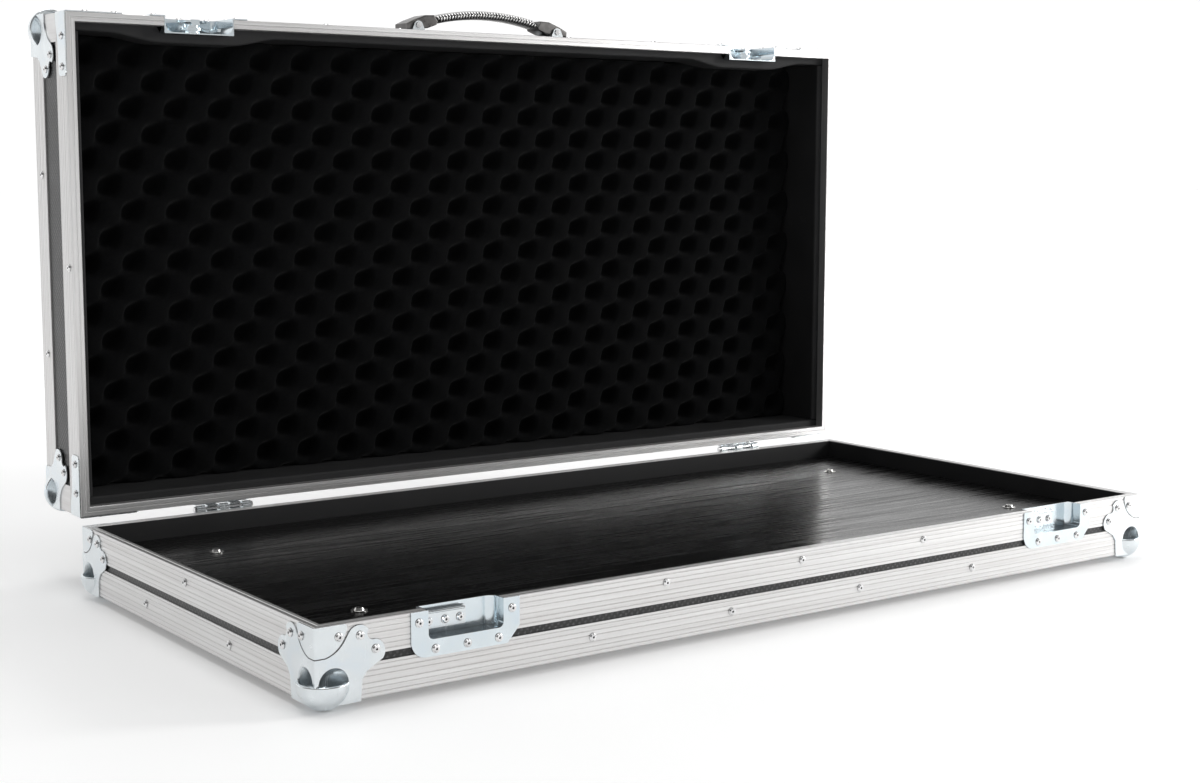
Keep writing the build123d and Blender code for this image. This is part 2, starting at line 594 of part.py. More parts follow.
with BuildPart() as lid_leaves:
    for cx in (-HINGE_X, HINGE_X):
        with BuildSketch(at(LID, Plane(origin=(cx, -hd, 0), x_dir=(1, 0, 0), z_dir=(0, -1, 0)))):
            with Locations((0, H_LID - 24)):
                RectangleRounded(LEAF_W, 40, 3)
        extrude(amount=LEAF_T)
        for k in HOOKS:
            with BuildSketch(at(LID, section(cx + k - HOOK_W / 2))):
                with BuildLine():
                    zl = axis_zl
                    Polyline((-hd - 0.3, zl - 14), (-hd - LEAF_T, zl - 14), (axis_yl - 4.3, zl - 9), (axis_yl - 4.3, zl + 2.6), (axis_yl + 4.3, zl + 2.6))
                    Polyline((axis_yl + 4.3, zl + 2.6), (axis_yl + 4.3, zl - 5.5), (-hd - 0.3, zl - 5.5), (-hd - 0.3, zl - 14))
                make_face()
            extrude(amount=HOOK_W)
    for cx in (-HINGE_X, HINGE_X):
        # the hooks' mouths face away from the lid's skin, so the lid lifts off the pins
        with BuildSketch(at(LID, section(cx - 25))):
            with Locations((axis_yl, axis_zl)):
                Circle(PIN_R + PIN_GAP)
            with Locations((axis_yl, axis_zl + 5)):
                Rectangle(2 * (PIN_R + PIN_GAP), 10)
        extrude(amount=50, mode=Mode.SUBTRACT)
save(lid_leaves.part, "lid_hinge_leaves")

hinge_rivets = []
for cx in (-HINGE_X, HINGE_X):
    for dx in (-22, 0, 22):
        hinge_rivets.append((cx + dx, hd + LEAF_T, H_BASE - 26, (0, 1, 0)))
save(rivets_on(BASE, hinge_rivets), "base_hinge_rivets")
save(rivets_on(LID, [(x, -y, H_LID - 26 - 8, (0, -1, 0)) for x, y, z, n in hinge_rivets]), "lid_hinge_rivets")

# ---- butterfly latches in the lid -------------------------------------------------
ROT_V = 21.0  # rotor axis, back from the lid's rim
ROT_R = 9.0
WING_R = 16.0


def latch_plane(cx, depth):
    """Across the rotor's axis, at a depth below the lid's outer face; its x runs along the case and its y towards the skin."""
    return at(LID, Plane(origin=(cx, hd - depth, H_LID - ROT_V), x_dir=(1, 0, 0), z_dir=(0, 1, 0)))


def rotor(cx):
    with BuildPart() as r:
        with BuildSketch(latch_plane(cx, DISH_D - 0.3)):
            Circle(ROT_R)
        extrude(amount=DISH_D - 0.3 - 5.6)
        # two lugs that hold the wing pivots
        with BuildSketch(latch_plane(cx, 5.6)):
            with Locations((0, 9.6), (0, -9.6)):
                Rectangle(9.4, 2.6)
            Rectangle(9.4, 21.8)
        extrude(amount=-1.4)
        with BuildSketch(latch_plane(cx, 5.6)):
            with Locations((0, 9.6), (0, -9.6)):
                Rectangle(9.4, 2.6)
        extrude(amount=4.6)
        # wing pivots
        for sx in (-1, 1):
            with BuildSketch(at(LID, Plane(origin=(cx + sx * 2.6, hd - 3.2, H_LID - ROT_V - 9.4), x_dir=(1, 0, 0), z_dir=(0, 0, 1)))):
                Circle(0.9)
            extrude(amount=18.8)
    return r.part


def cam(cx):
    """A sickle round the rotor: an arm and a finger that turns in behind the keeper's lip. Drawn unlatched, pointing along the case."""
    with BuildPart() as c:
        with BuildSketch(latch_plane(cx, 12.5)) as s:
            Circle(ROT_R + 3.5)
            with BuildSketch(mode=Mode.PRIVATE) as ring:
                Circle(31.0)
                Circle(27.6, mode=Mode.SUBTRACT)
                with BuildLine():
                    Polyline((0, 0), (60 * math.cos(math.radians(-14)), 60 * math.sin(math.radians(-14))), (60 * math.cos(math.radians(36)), 60 * math.sin(math.radians(36))), (0, 0))
                make_face(mode=Mode.INTERSECT)
            add(ring.sketch)
            with BuildSketch(mode=Mode.PRIVATE) as arm:
                with BuildLine():
                    Polyline((0, 0), (30 * math.cos(math.radians(22)), 30 * math.sin(math.radians(22))), (30 * math.cos(math.radians(38)), 30 * math.sin(math.radians(38))), (4, 9), (0, 0))
                make_face()
            add(arm.sketch)
            Circle(ROT_R + 0.02, mode=Mode.SUBTRACT)
        extrude(amount=3.0)
    return c.part


def wing(cx, sx):
    """Half a disc that folds out about its own pivot."""
    with BuildPart() as w:
        with BuildSketch(latch_plane(cx, 4.2)):
            Circle(WING_R)
            with Locations((-sx * (20 - 1.4), 0)):
                Rectangle(40, 40, mode=Mode.SUBTRACT)
            # room for the lugs
            with Locations((sx * 2.4, 12.0), (sx * 2.4, -12.0)):
                Rectangle(7.6, 8.4, mode=Mode.SUBTRACT)
            with Locations((sx * 10.2, 0)):
                Circle(2.6, mode=Mode.SUBTRACT)
        extrude(amount=2.0)
        with BuildSketch(at(LID, Plane(origin=(cx + sx * 2.6, hd - 3.2, H_LID - ROT_V - 7.6), x_dir=(1, 0, 0), z_dir=(0, 0, 1)))):
            Circle(1.9)
        extrude(amount=15.2)
        with BuildSketch(at(LID, Plane(origin=(cx + sx * 2.6, hd - 3.2, H_LID - ROT_V - 9), x_dir=(1, 0, 0), z_dir=(0, 0, 1)))):
            Circle(0.95)
        extrude(amount=18, mode=Mode.SUBTRACT)
    return w.part


for name, cx in (("left", -LATCH_X), ("right", LATCH_X)):
    save(rotor(cx), f"latch_rotor_{name}")
    save(cam(cx), f"latch_cam_{name}")
    save(wing(cx, -1), f"latch_wing_{name}_a")
    save(wing(cx, 1), f"latch_wing_{name}_b")

# ---- carrying handle, on the lid's latch side -------------------------------------------------
HZ = 52.0  # across the lid's depth, from its skin
CAP_X = 98.0
GRIP_X = 76.0
GRIP_LOW, GRIP_TOP = 10.0, 24.0


def side_plane(z):
    """A plane along the case and outwards, at a height z' of the lid; its x is x' and its y points outwards."""
    return at(LID, Plane(origin=(0, hd, z), x_dir=(1, 0, 0), z_dir=(0, 0, 1)))


with BuildPart() as handle_plates:
    for sx in (-1, 1):
        with BuildSketch(at(LID, Plane(origin=(sx * (CAP_X + 5), hd, HZ), x_dir=(1, 0, 0), z_dir=(0, 1, 0)))):
            RectangleRounded(44, 32, 4)
        extrude(amount=1.5)
        # two cheeks that carry the pin
        for dz in (-14.2, 14.2):
            with BuildSketch(side_plane(HZ + dz - 0.9)):
                with BuildLine():
                    Polyline((sx * CAP_X - 9, 1.5), (sx * CAP_X + 9, 1.5), (sx * CAP_X + 5, 10.5))
                    ThreePointArc((sx * CAP_X + 5, 10.5), (sx * CAP_X, 13.0), (sx * CAP_X - 5, 10.5))
                    Line((sx * CAP_X - 5, 10.5), (sx * CAP_X - 9, 1.5))
                make_face()
            extrude(amount=1.8)
        with BuildSketch(side_plane(HZ - 20)):
            with Locations((sx * CAP_X, 8.0)):
                Circle(2.23)
        extrude(amount=40, mode=Mode.SUBTRACT)
save(handle_plates.part, "handle_base_plates")

with BuildPart() as handle_pins:
    for sx in (-1, 1):
        with BuildSketch(side_plane(HZ - 15.1)):
            with Locations((sx * CAP_X, 8.0)):
                Circle(2.2)
        extrude(amount=30.2)
        for z, way in ((HZ - 15.1, -1), (HZ + 15.1, 1)):
            with BuildSketch(side_plane(z)):
                with Locations((sx * CAP_X, 8.0)):
                    Circle(3.4)
            extrude(amount=1.2 * way)
save(handle_pins.part, "handle_pins")

with BuildPart() as caps:
    for sx in (-1, 1):
        with BuildSketch(side_plane(HZ - 12.8)):
            with BuildLine():
                p = [(sx * 113, 2.6), (sx * 84, 5.2), (sx * 72.2, 9.4), (sx * 70.0, 13.6), (sx * 75.0, 20.6)]
                q = [(sx * 88, 20.0), (sx * 104, 14.2), (sx * 113.5, 9.6)]
                Polyline(*p, *q, p[0])
            make_face()
        extrude(amount=25.6)
        fillet(caps.edges().filter_by(lambda e: abs(e.tangent_at(0.5).X) > 0.2 and (e.center().X * sx) > 0), 1.6)
        # the slot that the pin runs in
        with BuildSketch(side_plane(HZ - 20)):
            with Locations(Location((sx * CAP_X, 6.0, 0))):
                SlotCenterToCenter(4.4, 4.7, rotation=90)
        extrude(amount=40, mode=Mode.SUBTRACT)
save(caps.part, "handle_end_caps")

ARCH_END = 14.4
ARCH_R = (GRIP_X**2 + (GRIP_TOP - ARCH_END) ** 2) / (2 * (GRIP_TOP - ARCH_END))


def on_arch(x):
    """A point of the grip's centre line, in the row's frame."""
    n = GRIP_TOP - (ARCH_R - math.sqrt(ARCH_R**2 - x * x))
    return at(LID, Plane(origin=(x, hd + n, HZ))).origin


def arch_piece(reach, wide, thick, bore_wide=0, bore_thick=0):
    """A flat oval bar or sleeve bent along the grip's arc, cut square where it meets the end caps."""
    with BuildPart() as bar:
        with BuildLine() as path:
            ThreePointArc(on_arch(-reach), on_arch(0), on_arch(reach))
        with BuildSketch(Plane(origin=path.line @ 0, z_dir=path.line % 0, x_dir=(0, 1, 0))):
            SlotOverall(wide, thick)
            if bore_wide:
                SlotOverall(bore_wide, bore_thick, mode=Mode.SUBTRACT)
        sweep()
        add(caps.part, mode=Mode.SUBTRACT)
        keep_largest = bar.part.solids().sort_by(SortBy.VOLUME)[-1]
    return keep_largest


save(arch_piece(GRIP_X, 19.0, 5.0), "handle_core")
save(arch_piece(69.0, 24.5, 10.5, 19.1, 5.1), "handle_spring")

plate_rivets = []
for sx in (-1, 1):
    for dz in (-9.5, 9.5):
        plate_rivets.append((sx * (CAP_X + 21.5), hd + 1.5, HZ + dz, (0, 1, 0)))
save(rivets_on(LID, plate_rivets), "handle_rivets")
print("front", FRONT, "rear", REAR, "axis", AXIS_Y, "lid skin", LID_SKIN, "lid frame", LID.origin)
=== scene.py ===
import math

import bmesh
import bpy
import numpy as np
from mathutils import Matrix, Vector, noise


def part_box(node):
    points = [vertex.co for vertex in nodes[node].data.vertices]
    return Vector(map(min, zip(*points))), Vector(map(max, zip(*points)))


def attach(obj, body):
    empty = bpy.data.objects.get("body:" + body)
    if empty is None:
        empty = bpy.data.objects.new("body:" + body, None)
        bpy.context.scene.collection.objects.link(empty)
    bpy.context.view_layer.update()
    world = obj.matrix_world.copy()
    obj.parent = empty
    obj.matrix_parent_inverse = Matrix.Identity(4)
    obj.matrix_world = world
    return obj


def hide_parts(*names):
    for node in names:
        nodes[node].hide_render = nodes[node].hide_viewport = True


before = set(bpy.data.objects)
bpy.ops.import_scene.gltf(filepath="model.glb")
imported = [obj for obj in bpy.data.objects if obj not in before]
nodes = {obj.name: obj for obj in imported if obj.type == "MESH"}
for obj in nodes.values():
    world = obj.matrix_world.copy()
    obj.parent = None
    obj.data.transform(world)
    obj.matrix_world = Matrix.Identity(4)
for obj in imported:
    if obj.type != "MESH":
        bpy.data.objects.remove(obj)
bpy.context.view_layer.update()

scene = bpy.context.scene

# ---- sizes, in millimetres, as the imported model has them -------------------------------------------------
lo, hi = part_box("lid_back_panel")
W = (hi.x - lo.x) * 1000 + 3.0
D = (hi.z - lo.z) * 1000 + 3.0
SKIN = hi.y * 1000 + 1.5
LZ = (hi.z + lo.z) * 500
hw, hd = W / 2, D / 2
H_LID = 100.0
lo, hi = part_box("base_bottom_panel")
BY = (hi.y + lo.y) * 500
H_BASE = 67.0


def lid_at(x, y, z):
    """Lid's own frame (mm; y up the open lid, z from its skin to its rim) to the row's frame (m)."""
    return Vector((x / 1000, (SKIN - z) / 1000, (LZ + y) / 1000))


# ---- camera -------------------------------------------------
AZ, EL, ROLL = math.radians(36.12), math.radians(7.03), math.radians(0.17)
CAM = (-1198.7, -1621.2, 450.4)
FOCAL, CX, CY = 1825.0, 599.3, 389.8

cam_data = bpy.data.cameras.new("camera")
cam = bpy.data.objects.new("camera", cam_data)
scene.collection.objects.link(cam)
scene.camera = cam
fw = Vector((math.sin(AZ) * math.cos(EL), math.cos(AZ) * math.cos(EL), -math.sin(EL)))
right = Vector((math.cos(AZ), -math.sin(AZ), 0))
up = right.cross(fw)
r2 = right * math.cos(ROLL) + up * math.sin(ROLL)
u2 = -right * math.sin(ROLL) + up * math.cos(ROLL)
rot = Matrix((r2, u2, -fw)).transposed()
cam.matrix_world = Matrix.Translation(Vector(CAM) / 1000) @ rot.to_4x4()
cam_data.sensor_width = 36.0
cam_data.lens = 36.0 * FOCAL / 1200
cam_data.shift_x = (600 - CX) / 1200
cam_data.shift_y = (CY - 391.5) / 1200
cam_data.clip_start = 0.05
cam_data.clip_end = 100
scene.view_settings.view_transform = "Standard"


# ---- materials -------------------------------------------------
def new_mat(name):
    m = bpy.data.materials.new(name)
    m.use_nodes = True
    nt = m.node_tree
    return m, nt, nt.nodes["Principled BSDF"]


def add_node(nt, kind, **props):
    n = nt.nodes.new(kind)
    for k, v in props.items():
        setattr(n, k, v)
    return n


def coords(nt, scale=(1, 1, 1), rot=(0, 0, 0)):
    tc = add_node(nt, "ShaderNodeTexCoord")
    mp = add_node(nt, "ShaderNodeMapping")
    mp.inputs["Scale"].default_value = scale
    mp.inputs["Rotation"].default_value = rot
    nt.links.new(tc.outputs["Object"], mp.inputs["Vector"])
    return mp.outputs["Vector"]


def noise_tex(nt, vec, scale, detail=4.0, rough=0.5, dist=0.0):
    t = add_node(nt, "ShaderNodeTexNoise")
    t.inputs["Scale"].default_value = scale
    t.inputs["Detail"].default_value = detail
    t.inputs["Roughness"].default_value = rough
    t.inputs["Distortion"].default_value = dist
    nt.links.new(vec, t.inputs["Vector"])
    return t.outputs["Fac"]


def ramp(nt, fac, stops):
    r = add_node(nt, "ShaderNodeValToRGB")
    els = r.color_ramp.elements
    while len(els) < len(stops):
        els.new(0.5)
    for e, (p, c) in zip(els, stops):
        e.position = p
        e.color = (*c, 1) if isinstance(c, tuple) else (c, c, c, 1)
    nt.links.new(fac, r.inputs["Fac"])
    return r.outputs["Color"]


def math_node(nt, op, a, b=None, c=None, clamp=False):
    m = add_node(nt, "ShaderNodeMath", operation=op)
    m.use_clamp = clamp
    for i, v in enumerate((a, b, c)):
        if v is None:
            continue
        if isinstance(v, (int, float)):
            m.inputs[i].default_value = v
        else:
            nt.links.new(v, m.inputs[i])
    return m.outputs[0]


def bump(nt, bsdf, height, strength, distance, extra=None):
    b = add_node(nt, "ShaderNodeBump")
    b.inputs["Strength"].default_value = strength
    b.inputs["Distance"].default_value = distance
    nt.links.new(height, b.inputs["Height"])
    if extra is not None:
        nt.links.new(extra, b.inputs["Normal"])
    nt.links.new(b.outputs["Normal"], bsdf.inputs["Normal"])
    return b.outputs["Normal"]


def edge_wear(nt, radius=0.0012):
    """0 on flat faces and 1 along sharp edges, from the bevelled normal."""
    bev = add_node(nt, "ShaderNodeBevel", samples=4)
    bev.inputs["Radius"].default_value = radius
    geo = add_node(nt, "ShaderNodeNewGeometry")
    dot = add_node(nt, "ShaderNodeVectorMath", operation="DOT_PRODUCT")
    nt.links.new(bev.outputs["Normal"], dot.inputs[0])
    nt.links.new(geo.outputs["Normal"], dot.inputs[1])
    inv = math_node(nt, "SUBTRACT", 1.0, dot.outputs["Value"])
    return math_node(nt, "MULTIPLY", inv, 6.0, clamp=True)


def mix_color(nt, fac, a, b, blend="MIX"):
    m = add_node(nt, "ShaderNodeMix", data_type="RGBA", blend_type=blend)
    for key, v in (("Factor", fac), ("A", a), ("B", b)):
        idx = {"Factor": 0, "A": 6, "B": 7}[key]
        if isinstance(v, (int, float)):
            m.inputs[idx].default_value = v
        elif isinstance(v, tuple):
            m.inputs[idx].default_value = (*v, 1)
        else:
            nt.links.new(v, m.inputs[idx])
    return m.outputs[2]


def crevice_shade(nt, distance, low=0.25, high=0.75, samples=6):
    """1 in narrow gaps and holes, 0 in the open, from ambient occlusion: the mask for painted shade."""
    ao = add_node(nt, "ShaderNodeAmbientOcclusion", samples=samples)
    ao.inputs["Distance"].default_value = distance
    return ramp(nt, ao.outputs["AO"], [(low, 1.0), (high, 0.0)])


def rib_groove_shade(nt, axis, ref, sign, first):
    """Painted shade: darker fine lines along an extrusion's leg, where its grooves run; axis and ref give its edge in
    metres, sign the way the leg runs from it.
    """
    tc = add_node(nt, "ShaderNodeTexCoord")
    sep = add_node(nt, "ShaderNodeSeparateXYZ")
    nt.links.new(tc.outputs["Object"], sep.inputs[0])
    g = math_node(nt, "MULTIPLY", math_node(nt, "SUBTRACT", sep.outputs[axis], ref), 1000.0 * sign)
    d1 = math_node(nt, "PINGPONG", math_node(nt, "SUBTRACT", g, first), 2.2)
    d2 = math_node(nt, "PINGPONG", math_node(nt, "SUBTRACT", g, first + 14.8), 2.2)
    far = math_node(nt, "GREATER_THAN", g, first + 11.8)
    mixf = add_node(nt, "ShaderNodeMix", data_type="FLOAT")
    nt.links.new(far, mixf.inputs[0])
    nt.links.new(d1, mixf.inputs[2])
    nt.links.new(d2, mixf.inputs[3])
    line = add_node(nt, "ShaderNodeMapRange", interpolation_type="SMOOTHSTEP")
    nt.links.new(mixf.outputs[0], line.inputs["Value"])
    line.inputs["From Min"].default_value = 0.35
    line.inputs["From Max"].default_value = 1.15
    line.inputs["To Min"].default_value = 1.0
    line.inputs["To Max"].default_value = 0.0
    inside = math_node(nt, "MULTIPLY", math_node(nt, "GREATER_THAN", g, first - 1.6), math_node(nt, "LESS_THAN", g, first + 25.2))
    return math_node(nt, "MULTIPLY", line.outputs["Result"], inside)


def extrusion_mat(name, axis, ribs, split_long=None, painted_shade_level=0.91):
    """Satin aluminium with drawing lines along one axis (0, 1 or 2); split_long is a half length past which the lines
    run along the second axis. The colours are scaled per piece, and the darker pieces carry painted shade.
    """

    def shade(r, g, b):
        return (r * painted_shade_level, g * painted_shade_level, b * painted_shade_level)

    m, nt, b = new_mat(name)
    b.inputs["Metallic"].default_value = 0.86

    def lines(a):
        s = [260.0, 260.0, 260.0]
        s[a] = 2.2
        return noise_tex(nt, coords(nt, tuple(s)), 1.0, 5.0, 0.65)

    if split_long is None:
        streak = lines(axis)
    else:
        a, c = axis
        tc = add_node(nt, "ShaderNodeTexCoord")
        sep = add_node(nt, "ShaderNodeSeparateXYZ")
        nt.links.new(tc.outputs["Object"], sep.inputs[0])
        far = math_node(nt, "GREATER_THAN", math_node(nt, "ABSOLUTE", sep.outputs["X"]), split_long)
        mixf = add_node(nt, "ShaderNodeMix", data_type="FLOAT")
        nt.links.new(far, mixf.inputs[0])
        nt.links.new(lines(a), mixf.inputs[2])
        nt.links.new(lines(c), mixf.inputs[3])
        streak = mixf.outputs[0]
    cloud = noise_tex(nt, coords(nt, (9, 9, 9)), 1.0, 3.0, 0.6)
    scuff = noise_tex(nt, coords(nt, (70, 70, 70)), 1.0, 6.0, 0.75, 0.6)
    col = ramp(nt, streak, [(0.28, shade(0.64, 0.62, 0.61)), (0.46, shade(0.76, 0.75, 0.745)), (0.66, shade(0.86, 0.855, 0.85))])
    col = mix_color(nt, ramp(nt, cloud, [(0.35, 0.0), (0.7, 0.35)]), col, shade(0.83, 0.835, 0.84))
    # painted shade: darker lines along the leg's grooves, patchy with the cloud
    rib_shade = rib_groove_shade(nt, *ribs)
    rib_shade = math_node(nt, "MULTIPLY", rib_shade, math_node(nt, "MULTIPLY_ADD", cloud, 0.32, 0.0))
    col = mix_color(nt, rib_shade, col, (0.60, 0.575, 0.565))
    spots = ramp(nt, scuff, [(0.66, 0.0), (0.74, 1.0)])
    col = mix_color(nt, math_node(nt, "MULTIPLY", spots, 0.25), col, (0.60, 0.59, 0.58))
    # painted shade: near black in narrow gaps and seams, from ambient occlusion
    col = mix_color(nt, math_node(nt, "MULTIPLY", crevice_shade(nt, 0.0016), 0.8), col, (0.05, 0.05, 0.05))
    nt.links.new(col, b.inputs["Base Color"])
    r = math_node(nt, "MULTIPLY_ADD", streak, 0.24, 0.22)
    r = math_node(nt, "MULTIPLY_ADD", spots, 0.12, r)
    nt.links.new(r, b.inputs["Roughness"])
    bump(nt, b, streak, 0.10, 0.0006)
    return m


def zinc_mat(name, tint=(0.735, 0.775, 0.795), rough=0.20):
    m, nt, b = new_mat(name)
    b.inputs["Metallic"].default_value = 1.0
    v = coords(nt, (1, 1, 1))
    cloud = noise_tex(nt, v, 38.0, 4.0, 0.6, 0.4)
    fine = noise_tex(nt, v, 900.0, 3.0, 0.6)
    scratch = noise_tex(nt, coords(nt, (900, 40, 40), (0.3, 0.5, 0.9)), 1.0, 3.0, 0.7)
    pale = tuple(min(1.0, t * 1.09) for t in tint)
    blue = (tint[0] * 0.93, tint[1] * 0.965, tint[2] * 1.005)
    col = ramp(nt, cloud, [(0.25, blue), (0.48, tint), (0.75, pale)])
    wear = edge_wear(nt, 0.0008)
    col = mix_color(nt, math_node(nt, "MULTIPLY", wear, 0.6), col, (0.86, 0.87, 0.87))
    # painted shade: near black in narrow gaps, seams and hollows, from ambient occlusion
    col = mix_color(nt, math_node(nt, "MULTIPLY", crevice_shade(nt, 0.0013), 0.85), col, (0.03, 0.033, 0.04))
    nt.links.new(col, b.inputs["Base Color"])
    r = math_node(nt, "MULTIPLY_ADD", cloud, 0.20, rough - 0.06)
    r = math_node(nt, "MULTIPLY_ADD", ramp(nt, scratch, [(0.60, 0.0), (0.70, 1.0)]), 0.10, r)
    nt.links.new(r, b.inputs["Roughness"])
    bump(nt, b, fine, 0.05, 0.0002)
    return m


def steel_mat(name, color=(0.80, 0.80, 0.80), rough=0.16, metal=1.0, scale=160.0, shade_gap=0.0):
    m, nt, b = new_mat(name)
    b.inputs["Metallic"].default_value = metal
    v = coords(nt)
    n1 = noise_tex(nt, v, scale, 4.0, 0.6)
    n2 = noise_tex(nt, v, scale * 9, 3.0, 0.6)
    wear = edge_wear(nt, 0.0006)
    dark = tuple(c * 0.72 for c in color)
    col = ramp(nt, n1, [(0.3, dark), (0.6, color)])
    col = mix_color(nt, math_node(nt, "MULTIPLY", wear, 0.5), col, tuple(min(1, c * 1.2 + 0.04) for c in color))
    # painted shade: near black in narrow gaps and holes (rivet holes, between the coil's turns), from ambient occlusion
    if shade_gap:
        col = mix_color(nt, math_node(nt, "MULTIPLY", crevice_shade(nt, shade_gap, 0.35, 0.8), 0.95), col, (0.015, 0.015, 0.015))
    nt.links.new(col, b.inputs["Base Color"])
    nt.links.new(math_node(nt, "MULTIPLY_ADD", n1, 0.22, rough - 0.04), b.inputs["Roughness"])
    bump(nt, b, n2, 0.06, 0.0002)
    return m


def own_normal(nt):
    """The face's normal in its piece's own frame, so that it turns with the piece."""
    geo = add_node(nt, "ShaderNodeNewGeometry")
    tr = add_node(nt, "ShaderNodeVectorTransform", vector_type="NORMAL", convert_from="WORLD", convert_to="OBJECT")
    nt.links.new(geo.outputs["True Normal"], tr.inputs[0])
    return tr.outputs[0]


def lattice(nt, pitch):
    """A staggered lattice of dots on whichever way the face looks."""
    tc = add_node(nt, "ShaderNodeTexCoord")
    sep = add_node(nt, "ShaderNodeSeparateXYZ")
    nt.links.new(tc.outputs["Object"], sep.inputs[0])
    k = 2 * math.pi / pitch
    cs = [math_node(nt, "COSINE", math_node(nt, "MULTIPLY", sep.outputs[i], k)) for i in range(3)]
    sn = add_node(nt, "ShaderNodeSeparateXYZ")
    nt.links.new(own_normal(nt), sn.inputs[0])
    nx = math_node(nt, "GREATER_THAN", math_node(nt, "ABSOLUTE", sn.outputs[0]), 0.7)
    ny = math_node(nt, "GREATER_THAN", math_node(nt, "ABSOLUTE", sn.outputs[1]), 0.7)
    nz = math_node(nt, "GREATER_THAN", math_node(nt, "ABSOLUTE", sn.outputs[2]), 0.7)
    yz = math_node(nt, "MULTIPLY", math_node(nt, "MULTIPLY", cs[1], cs[2]), nx)
    xz = math_node(nt, "MULTIPLY", math_node(nt, "MULTIPLY", cs[0], cs[2]), ny)
    xy = math_node(nt, "MULTIPLY", math_node(nt, "MULTIPLY", cs[0], cs[1]), nz)
    return math_node(nt, "ADD", math_node(nt, "ADD", yz, xz), xy)


def laminate_mat(name, centre):
    """Embossed on the faces that look away from the shell's centre, and plain on the others."""
    m, nt, b = new_mat(name)
    lat = lattice(nt, 0.0066)
    dots = ramp(nt, math_node(nt, "MULTIPLY_ADD", lat, 0.5, 0.5), [(0.60, 0.0), (0.80, 1.0)])
    tc = add_node(nt, "ShaderNodeTexCoord")
    rel = add_node(nt, "ShaderNodeVectorMath", operation="SUBTRACT")
    nt.links.new(tc.outputs["Object"], rel.inputs[0])
    rel.inputs[1].default_value = centre
    dot = add_node(nt, "ShaderNodeVectorMath", operation="DOT_PRODUCT")
    nt.links.new(rel.outputs[0], dot.inputs[0])
    nt.links.new(own_normal(nt), dot.inputs[1])
    dots = math_node(nt, "MULTIPLY", dots, math_node(nt, "GREATER_THAN", dot.outputs["Value"], 0.0))
    v = coords(nt)
    cloud = noise_tex(nt, v, 24.0, 5.0, 0.6)
    fine = noise_tex(nt, v, 1400.0, 3.0, 0.6)
    scuff = noise_tex(nt, coords(nt, (60, 60, 260)), 1.0, 5.0, 0.7, 1.0)
    base = ramp(nt, cloud, [(0.3, 0.009), (0.7, 0.017)])
    col = mix_color(nt, math_node(nt, "MULTIPLY", dots, 0.75), base, (0.060, 0.060, 0.063))
    marks = ramp(nt, scuff, [(0.68, 0.0), (0.76, 1.0)])
    col = mix_color(nt, math_node(nt, "MULTIPLY", marks, 0.12), col, (0.3, 0.3, 0.3))
    nt.links.new(col, b.inputs["Base Color"])
    nt.links.new(math_node(nt, "MULTIPLY_ADD", cloud, 0.18, 0.27), b.inputs["Roughness"])
    n = bump(nt, b, dots, 0.7, 0.0005)
    bump(nt, b, fine, 0.08, 0.0002, n)
    return m


def board_mat(name):
    m, nt, b = new_mat(name)
    grain = noise_tex(nt, coords(nt, (6, 190, 190)), 1.0, 7.0, 0.70, 0.25)
    broad = noise_tex(nt, coords(nt, (1.6, 26, 26)), 1.0, 4.0, 0.6, 0.4)
    pores = noise_tex(nt, coords(nt, (38, 620, 620)), 1.0, 3.0, 0.6)
    col = ramp(nt, grain, [(0.30, 0.0020), (0.55, 0.0038), (0.75, 0.0080)])
    nt.links.new(col, b.inputs["Base Color"])
    r = math_node(nt, "MULTIPLY_ADD", ramp(nt, grain, [(0.35, 0.0), (0.65, 1.0)]), 0.22, 0.10)
    r = math_node(nt, "MULTIPLY_ADD", ramp(nt, broad, [(0.35, 0.0), (0.65, 1.0)]), 0.07, r)
    nt.links.new(r, b.inputs["Roughness"])
    b.inputs["Specular IOR Level"].default_value = 0.42
    h = math_node(nt, "MULTIPLY_ADD", pores, 0.3, grain)
    bump(nt, b, h, 0.17, 0.0008)
    return m


def foam_mat(name):
    m, nt, b = new_mat(name)
    v = coords(nt)
    fine = noise_tex(nt, v, 700.0, 4.0, 0.75)
    cells = add_node(nt, "ShaderNodeTexVoronoi")
    cells.inputs["Scale"].default_value = 1150.0
    nt.links.new(v, cells.inputs["Vector"])
    cloud = noise_tex(nt, v, 14.0, 3.0, 0.6)
    col = ramp(nt, fine, [(0.30, (0.0010, 0.0011, 0.0012)), (0.70, (0.0046, 0.0048, 0.0051))])
    col = mix_color(nt, ramp(nt, cloud, [(0.4, 0.0), (0.8, 0.3)]), col, (0.0040, 0.0040, 0.0042))
    nt.links.new(col, b.inputs["Base Color"])
    b.inputs["Roughness"].default_value = 1.0
    b.inputs["Specular IOR Level"].default_value = 0.045
    b.inputs["Sheen Weight"].default_value = 0.02
    b.inputs["Sheen Roughness"].default_value = 0.5
    n = bump(nt, b, cells.outputs["Distance"], 0.35, 0.0005)
    bump(nt, b, fine, 0.3, 0.0005, n)
    return m


def lining_mat(name):
    m, nt, b = new_mat(name)
    v = coords(nt)
    fine = noise_tex(nt, v, 1500.0, 3.0, 0.6)
    cloud = noise_tex(nt, v, 22.0, 4.0, 0.6)
    rub = noise_tex(nt, coords(nt, (14, 60, 60)), 1.0, 4.0, 0.7, 0.8)
    col = ramp(nt, cloud, [(0.3, (0.0085, 0.0085, 0.0090)), (0.7, (0.0135, 0.0135, 0.0142))])
    col = mix_color(nt, ramp(nt, rub, [(0.60, 0.0), (0.80, 0.35)]), col, (0.026, 0.026, 0.027))
    nt.links.new(col, b.inputs["Base Color"])
    nt.links.new(math_node(nt, "MULTIPLY_ADD", cloud, 0.15, 0.62), b.inputs["Roughness"])
    b.inputs["Specular IOR Level"].default_value = 0.3
    bump(nt, b, fine, 0.25, 0.0004)
    return m


